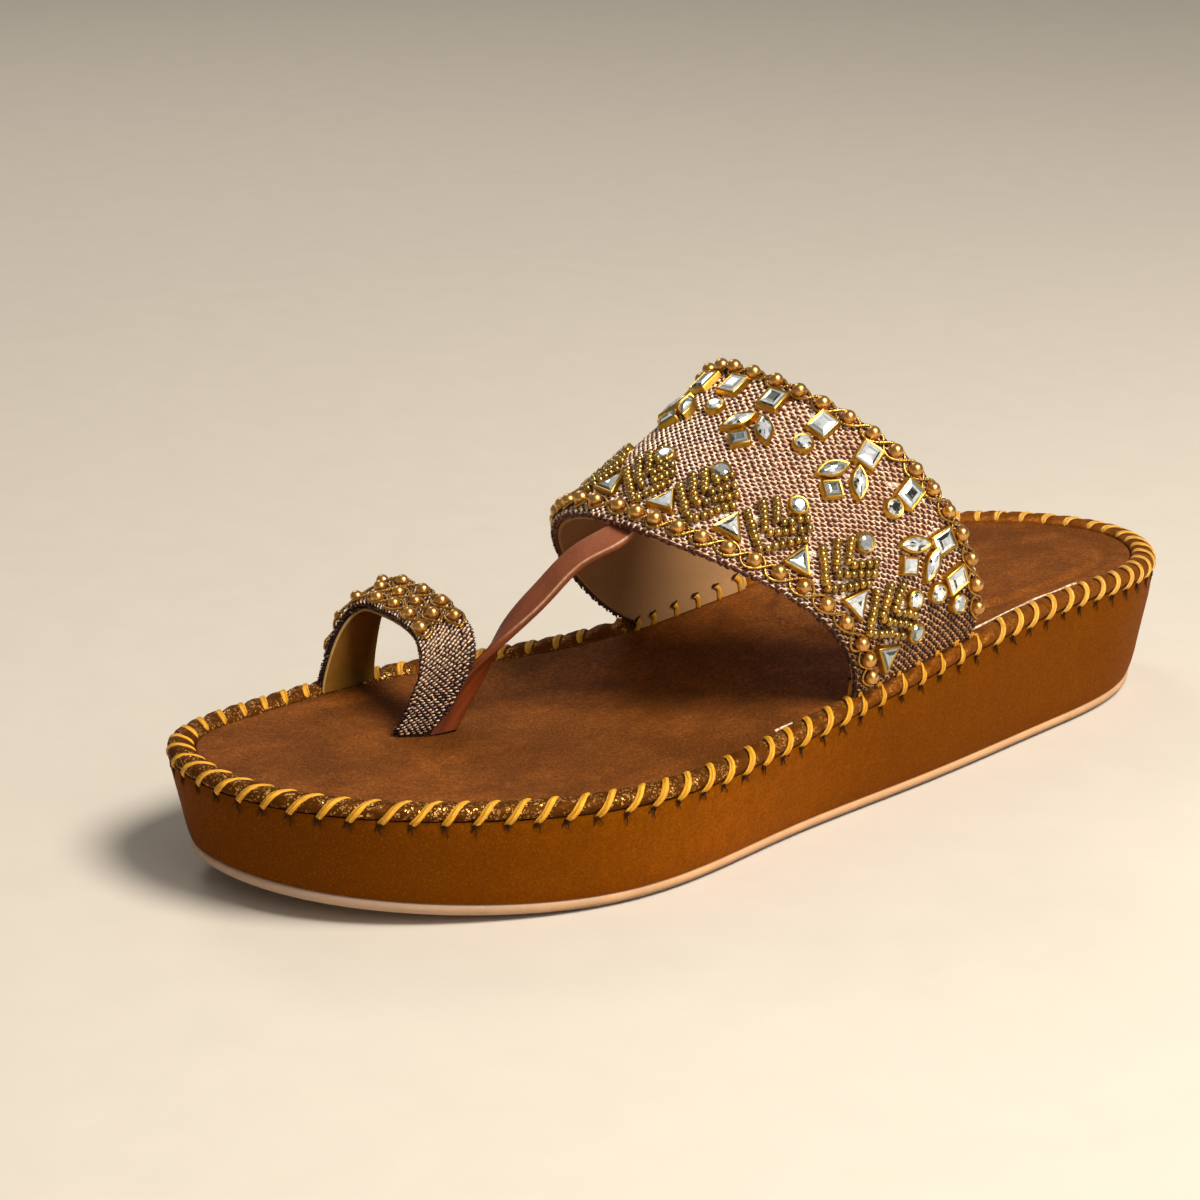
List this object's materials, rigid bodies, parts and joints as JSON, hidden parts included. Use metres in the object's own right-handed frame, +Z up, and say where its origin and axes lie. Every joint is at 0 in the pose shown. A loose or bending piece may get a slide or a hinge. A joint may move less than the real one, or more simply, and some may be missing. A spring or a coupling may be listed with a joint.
{
  "type": "platform wedge sandal",
  "caption": "Left platform wedge sandal with a beaded instep band, a slim thong strap, a toe loop and a whipstitched rim.",
  "frame": {"origin": "on the floor under the middle of the sole's length, at the outsole's flat underside", "axes": "-X towards the toe, +X towards the heel, +Y towards the medial (big toe) side, -Y towards the lateral side, +Z up"},
  "size_m": [0.2558, 0.098, 0.0901],
  "materials": {
    "outsole_rubber": "matt tan sheet rubber",
    "platform_leather": "brown metallic leather with a fine grain and a soft shimmer",
    "rim_leather": "bronze foil leather that sparkles along its crest",
    "footbed_suede": "dark brown suede-look leather with soft mottling",
    "woven_cloth": "coarse woven cloth in bronze, copper and dusty pink",
    "lining_leather": "matt beige lining leather",
    "strap_leather": "brown metallic leather with bright folded edges",
    "whipstitch_cord": "waxed golden yellow cord",
    "antique_gold": "antique gold plating, satin to bright",
    "clear_stone": "clear foil-backed cut stones"
  },
  "bodies": {
    "root": {"outsole": "outsole_rubber", "platform": "platform_leather", "rim_roll": "rim_leather", "footbed": "footbed_suede", "upper": "woven_cloth", "toe_loop": "woven_cloth"}
  },
  "joints": []
}
